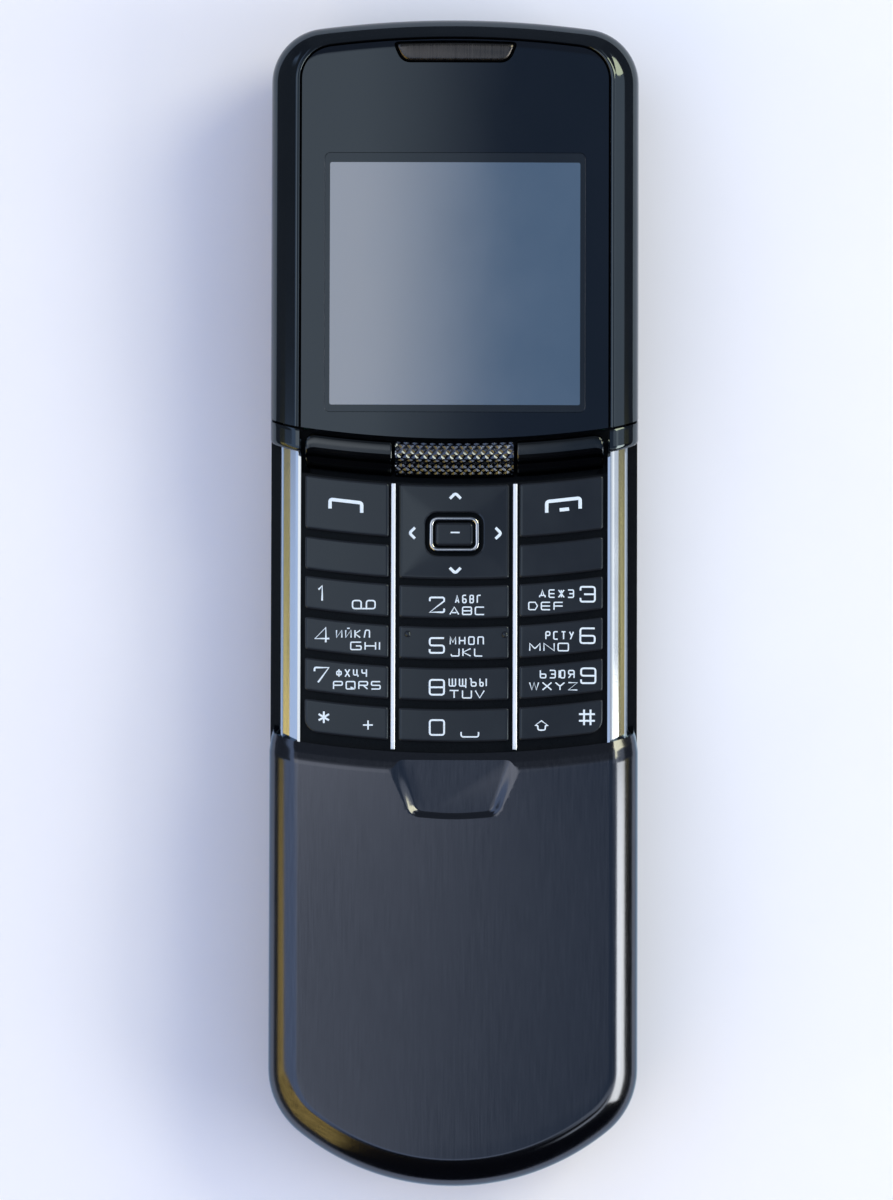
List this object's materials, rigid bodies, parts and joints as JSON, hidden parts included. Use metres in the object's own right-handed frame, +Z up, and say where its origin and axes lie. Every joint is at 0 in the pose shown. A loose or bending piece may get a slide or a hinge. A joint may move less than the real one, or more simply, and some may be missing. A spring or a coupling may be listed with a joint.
{
  "type": "slider phone",
  "caption": "Slim slider phone lying open: display half above a keypad, sliding tray with brushed lower cover, battery bay and back cover.",
  "frame": {"origin": "on the table under the middle of the open phone", "axes": "+X to the right across the phone, +Y toward the earpiece end, +Z up out of the display"},
  "size_m": [0.045, 0.1424, 0.0165],
  "materials": {
    "black_metal": "polished black coated steel",
    "soft_key_metal": "polished dark coated steel",
    "dark_shell": "satin black coated steel",
    "brushed_cover": "black coated steel brushed along the phone, glossy clear coat",
    "bezel_glass": "black backed glass",
    "display_panel": "unlit grey-blue display",
    "chrome_trim": "bright chrome",
    "knurled_metal": "diamond knurled dark metal",
    "key_plastic": "satin grey-black moulding",
    "dark_plastic": "black moulding",
    "mat_rubber": "silicone key mat",
    "circuit_board": "solder-masked board",
    "magnesium": "cast, bead blasted",
    "tinned_steel": "tinned sheet",
    "battery_wrap": "printed plastic wrap"
  },
  "bodies": {
    "handset": {"upper_housing": "black_metal", "collar_left": "black_metal", "collar_right": "black_metal", "top_cap": "black_metal", "display_window": "bezel_glass", "earpiece_trim": "black_metal", "earpiece_speaker": "tinned_steel", "lcd_frame": "tinned_steel", "lcd_panel": "display_panel", "main_board": "circuit_board", "shield_can": "tinned_steel", "inner_chassis": "magnesium", "back_shell": "dark_plastic", "camera_lens": "bezel_glass", "camera_module": "dark_plastic", "loudspeaker": "tinned_steel", "vibration_motor": "tinned_steel", "antenna": "dark_plastic", "chrome_rail_left": "chrome_trim", "chrome_rail_right": "chrome_trim", "keypad_frame": "dark_plastic", "key_mat": "mat_rubber", "keypad_board": "circuit_board", "column_divider_left": "chrome_trim", "column_divider_right": "chrome_trim", "grip_bar": "knurled_metal"},
    "slider": {"rear_tray": "dark_shell", "front_cover": "brushed_cover", "slide_rail_left": "tinned_steel", "slide_rail_right": "tinned_steel", "battery": "battery_wrap", "sim_holder": "tinned_steel", "charge_socket": "tinned_steel", "microphone": "tinned_steel"},
    "battery_cover": {"battery_cover": "black_metal"},
    "cover_release_button": {"cover_release_button": "black_metal"},
    "power_key": {"power_key": "black_metal"},
    "soft_key_left": {"soft_key_left": "soft_key_metal"},
    "soft_key_right": {"soft_key_right": "soft_key_metal"},
    "call_key": {"call_key": "key_plastic"},
    "end_key": {"end_key": "key_plastic"},
    "blank_key_left": {"blank_key_left": "key_plastic"},
    "blank_key_right": {"blank_key_right": "key_plastic"},
    "nav_rocker": {"nav_rocker": "dark_plastic"},
    "nav_key": {"nav_key": "key_plastic", "select_ring": "chrome_trim"},
    "select_key": {"select_key": "key_plastic"},
    "key_1": {"key_1": "key_plastic"},
    "key_2": {"key_2": "key_plastic"},
    "key_3": {"key_3": "key_plastic"},
    "key_4": {"key_4": "key_plastic"},
    "key_5": {"key_5": "key_plastic"},
    "key_6": {"key_6": "key_plastic"},
    "key_7": {"key_7": "key_plastic"},
    "key_8": {"key_8": "key_plastic"},
    "key_9": {"key_9": "key_plastic"},
    "key_star": {"key_star": "key_plastic"},
    "key_0": {"key_0": "key_plastic"},
    "key_hash": {"key_hash": "key_plastic"}
  },
  "joints": [
    {"name": "slide", "type": "slide", "parent": "handset", "child": "slider", "axis": [0, 1, 0], "range_m": [0, 0.035]},
    {"name": "battery_cover_slide", "type": "slide", "parent": "slider", "child": "battery_cover", "axis": [0, -1, 0], "range_m": [0, 0.006]},
    {"name": "cover_release_push", "type": "slide", "parent": "slider", "child": "cover_release_button", "axis": [0, 0, 1], "range_m": [0, 0.0004], "stiffness_N_per_m": 500},
    {"name": "power_key_push", "type": "slide", "parent": "handset", "child": "power_key", "axis": [0, -1, 0], "range_m": [0, 0.0004], "stiffness_N_per_m": 500},
    {"name": "soft_key_left_push", "type": "slide", "parent": "handset", "child": "soft_key_left", "axis": [0, 0, -1], "range_m": [0, 0.0003], "stiffness_N_per_m": 500},
    {"name": "soft_key_right_push", "type": "slide", "parent": "handset", "child": "soft_key_right", "axis": [0, 0, -1], "range_m": [0, 0.0003], "stiffness_N_per_m": 500},
    {"name": "call_key_push", "type": "slide", "parent": "handset", "child": "call_key", "axis": [0, 0, -1], "range_m": [0, 0.0003], "stiffness_N_per_m": 500},
    {"name": "end_key_push", "type": "slide", "parent": "handset", "child": "end_key", "axis": [0, 0, -1], "range_m": [0, 0.0003], "stiffness_N_per_m": 500},
    {"name": "blank_key_left_push", "type": "slide", "parent": "handset", "child": "blank_key_left", "axis": [0, 0, -1], "range_m": [0, 0.0003], "stiffness_N_per_m": 500},
    {"name": "blank_key_right_push", "type": "slide", "parent": "handset", "child": "blank_key_right", "axis": [0, 0, -1], "range_m": [0, 0.0003], "stiffness_N_per_m": 500},
    {"name": "nav_up_down_tilt", "type": "hinge", "parent": "handset", "child": "nav_rocker", "pos_m": [0, 0.0081, 0.013], "axis": [1, 0, 0], "range_deg": [-1.5, 1.5], "stiffness_Nm_per_rad": 0.05},
    {"name": "nav_left_right_tilt", "type": "hinge", "parent": "nav_rocker", "child": "nav_key", "pos_m": [0, 0.0081, 0.0133], "axis": [0, 1, 0], "range_deg": [-1.5, 1.5], "stiffness_Nm_per_rad": 0.05},
    {"name": "select_key_push", "type": "slide", "parent": "nav_key", "child": "select_key", "axis": [0, 0, -1], "range_m": [0, 0.00025], "stiffness_N_per_m": 500},
    {"name": "key_1_push", "type": "slide", "parent": "handset", "child": "key_1", "axis": [0, 0, -1], "range_m": [0, 0.0003], "stiffness_N_per_m": 500},
    {"name": "key_2_push", "type": "slide", "parent": "handset", "child": "key_2", "axis": [0, 0, -1], "range_m": [0, 0.0003], "stiffness_N_per_m": 500},
    {"name": "key_3_push", "type": "slide", "parent": "handset", "child": "key_3", "axis": [0, 0, -1], "range_m": [0, 0.0003], "stiffness_N_per_m": 500},
    {"name": "key_4_push", "type": "slide", "parent": "handset", "child": "key_4", "axis": [0, 0, -1], "range_m": [0, 0.0003], "stiffness_N_per_m": 500},
    {"name": "key_5_push", "type": "slide", "parent": "handset", "child": "key_5", "axis": [0, 0, -1], "range_m": [0, 0.0003], "stiffness_N_per_m": 500},
    {"name": "key_6_push", "type": "slide", "parent": "handset", "child": "key_6", "axis": [0, 0, -1], "range_m": [0, 0.0003], "stiffness_N_per_m": 500},
    {"name": "key_7_push", "type": "slide", "parent": "handset", "child": "key_7", "axis": [0, 0, -1], "range_m": [0, 0.0003], "stiffness_N_per_m": 500},
    {"name": "key_8_push", "type": "slide", "parent": "handset", "child": "key_8", "axis": [0, 0, -1], "range_m": [0, 0.0003], "stiffness_N_per_m": 500},
    {"name": "key_9_push", "type": "slide", "parent": "handset", "child": "key_9", "axis": [0, 0, -1], "range_m": [0, 0.0003], "stiffness_N_per_m": 500},
    {"name": "key_star_push", "type": "slide", "parent": "handset", "child": "key_star", "axis": [0, 0, -1], "range_m": [0, 0.0003], "stiffness_N_per_m": 500},
    {"name": "key_0_push", "type": "slide", "parent": "handset", "child": "key_0", "axis": [0, 0, -1], "range_m": [0, 0.0003], "stiffness_N_per_m": 500},
    {"name": "key_hash_push", "type": "slide", "parent": "handset", "child": "key_hash", "axis": [0, 0, -1], "range_m": [0, 0.0003], "stiffness_N_per_m": 500}
  ]
}
